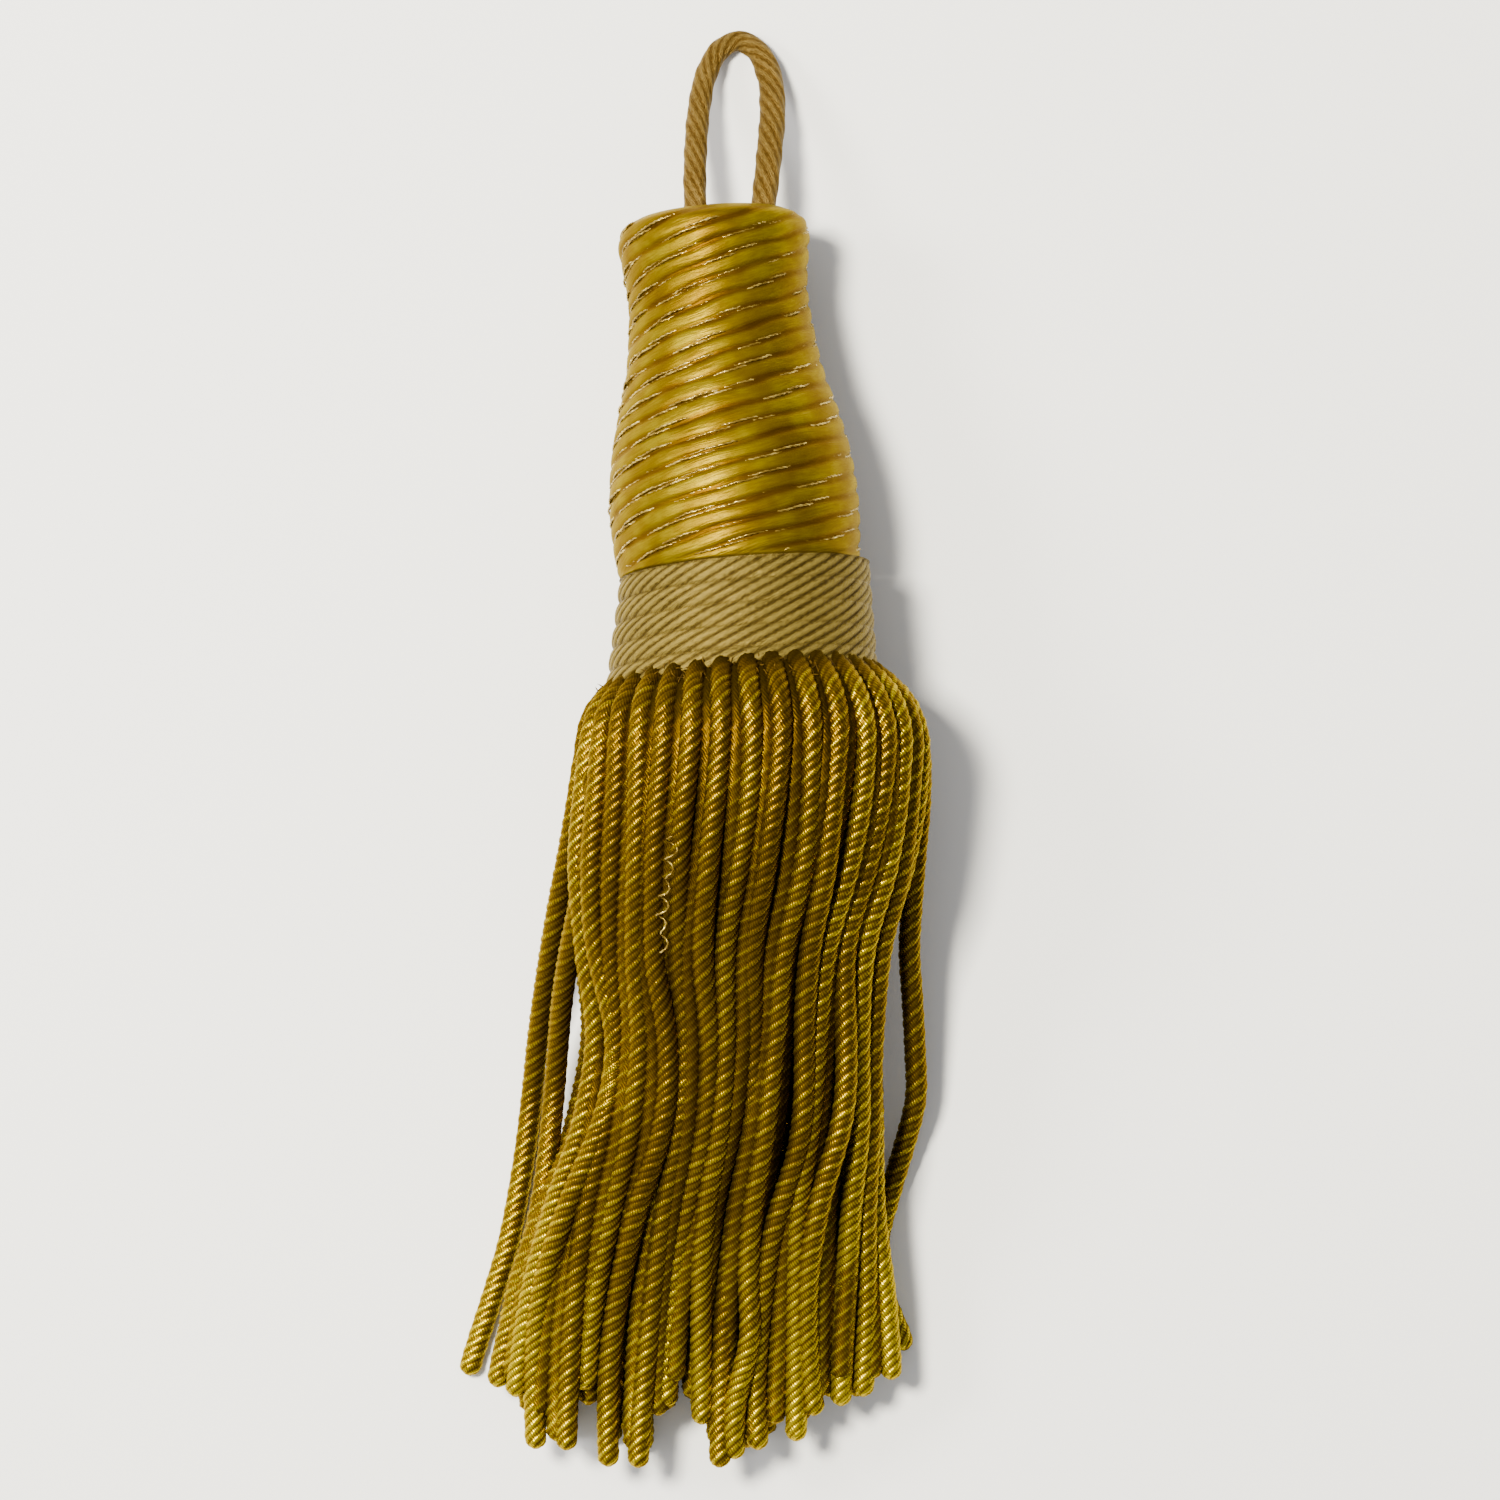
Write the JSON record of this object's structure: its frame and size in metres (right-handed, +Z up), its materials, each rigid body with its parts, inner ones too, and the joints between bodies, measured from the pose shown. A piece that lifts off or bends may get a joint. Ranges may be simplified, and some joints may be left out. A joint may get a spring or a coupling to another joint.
{
  "type": "silk tassel",
  "caption": "Tassel lying on its side: a satin-wound head, a corded neck, a full skirt of twisted gold bullion cords and a hanging loop.",
  "frame": {"origin": "middle of the whole tassel's outline, on the surface that it lies on", "axes": "+Y along the tassel towards the hanging loop, +X to the right seen from above, +Z up from the surface"},
  "size_m": [0.0538, 0.1678, 0.0372],
  "materials": {
    "satin": "olive-gold satin winding with fine metal threads",
    "cream_cord": "matt cream twisted cord",
    "brown_cord": "brown-gold twisted cord",
    "bullion": "shiny gold metallic twisted cord"
  },
  "bodies": {
    "root": {"head": "satin", "neck_cord": "cream_cord", "hanging_loop": "brown_cord", "skirt": "bullion"}
  },
  "joints": []
}
